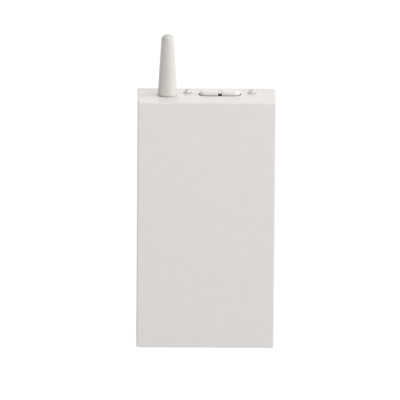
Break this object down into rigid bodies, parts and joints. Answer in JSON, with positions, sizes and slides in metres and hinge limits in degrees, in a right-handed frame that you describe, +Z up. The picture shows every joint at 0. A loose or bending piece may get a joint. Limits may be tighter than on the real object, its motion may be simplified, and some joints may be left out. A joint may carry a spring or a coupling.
{
  "type": "wireless signal repeater",
  "caption": "Tall flat box with a stub antenna, two press keys and two domed lamp lenses on its top face, keyholes in the back and a round power inlet in the base.",
  "frame": {"origin": "middle of the base", "axes": "+Z up towards the antenna, -Y out of the plain front face, +Y out of the back cover, +X to the right seen from the front"},
  "size_m": [0.09, 0.04, 0.2058],
  "materials": {
    "case_white": "fine moulded texture, off-white ABS",
    "key_white": "satin moulded ABS",
    "antenna_white": "soft-touch moulded sleeve",
    "seal_black": "matt silicone",
    "lens_clear": "clear polished acrylic",
    "screw_steel": "bright zinc-plated steel",
    "clip_steel": "tin-plated sheet steel",
    "brass": "turned brass",
    "nickel": "nickel-plated brass",
    "board_green": "glass-fibre board with green solder mask",
    "radio_blue": "glass-fibre board with blue solder mask",
    "chip_black": "moulded epoxy",
    "ferrite_grey": "pressed ferrite",
    "can_aluminium": "drawn aluminium can",
    "socket_black": "moulded nylon",
    "plug_white": "moulded nylon",
    "lamp_white": "moulded lamp body",
    "cell_blue": "shrink wrap",
    "foam_grey": "adhesive foam",
    "lead_red": "wire insulation",
    "lead_black": "wire insulation"
  },
  "bodies": {
    "casing": {"front_housing": "case_white", "back_cover": "case_white", "cover_screws": "screw_steel", "main_board": "board_green", "board_screws": "screw_steel", "key_seal": "seal_black", "left_switch_body": "socket_black", "right_switch_body": "socket_black", "left_switch_bracket": "clip_steel", "right_switch_bracket": "clip_steel", "left_lens": "lens_clear", "right_lens": "lens_clear", "left_lamp": "lamp_white", "right_lamp": "lamp_white", "antenna_sleeve": "antenna_white", "antenna_element": "brass", "antenna_stud": "brass", "antenna_washer": "nickel", "antenna_nut": "nickel", "antenna_lead": "lead_black", "antenna_lead_plug": "nickel", "antenna_socket": "brass", "radio_board": "radio_blue", "radio_shield": "clip_steel", "radio_crystal": "nickel", "processor": "chip_black", "charger_chip": "chip_black", "voltage_regulator": "chip_black", "power_inductor": "ferrite_grey", "filter_capacitors": "can_aluminium", "fuse": "ferrite_grey", "service_header": "socket_black", "inlet_body": "socket_black", "inlet_pin": "nickel", "inlet_contact": "clip_steel", "battery": "cell_blue", "battery_pad": "foam_grey", "battery_lead_red": "lead_red", "battery_lead_black": "lead_black", "battery_plug": "plug_white", "battery_socket": "plug_white"},
    "left_button": {"left_key": "key_white", "left_switch_stem": "socket_black"},
    "right_button": {"right_key": "key_white", "right_switch_stem": "socket_black"}
  },
  "joints": [
    {"name": "left_key_press", "type": "slide", "parent": "casing", "child": "left_button", "axis": [0, 0, -1], "range_m": [0, 0.0005], "stiffness_N_per_m": 1500, "springref_m": -0.0001},
    {"name": "right_key_press", "type": "slide", "parent": "casing", "child": "right_button", "axis": [0, 0, -1], "range_m": [0, 0.0005], "stiffness_N_per_m": 1500, "springref_m": -0.0001}
  ]
}
